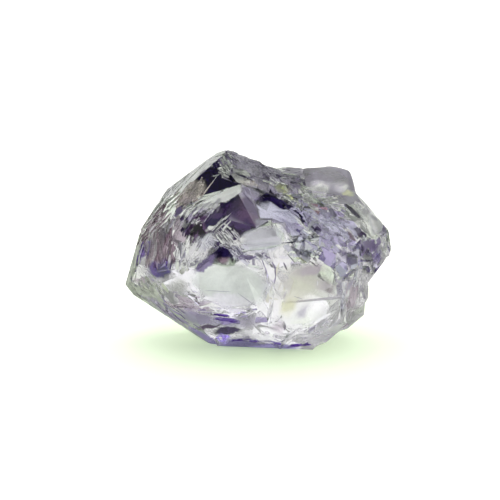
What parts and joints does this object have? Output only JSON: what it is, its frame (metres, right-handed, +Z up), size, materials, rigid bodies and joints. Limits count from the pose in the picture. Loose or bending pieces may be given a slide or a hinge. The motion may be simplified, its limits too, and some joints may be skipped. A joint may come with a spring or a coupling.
{
  "type": "scapolite crystal",
  "caption": "Rough clear lavender gem crystal: one broken piece with flat windows, stepped ridges, shell-shaped flake scars and a frosted knob, standing on a flat base.",
  "frame": {"origin": "middle of the flat base that the crystal stands on", "axes": "+Z up, +X to the right along the longest side, -Y towards the front with the large pale window"},
  "size_m": [0.011, 0.0076, 0.008],
  "materials": {
    "scapolite": "clear lavender crystal with fresh glassy breaks, a frosted grey rind on its rim and knob, and two small yellow stains"
  },
  "bodies": {
    "root": {"crystal": "scapolite"}
  },
  "joints": []
}
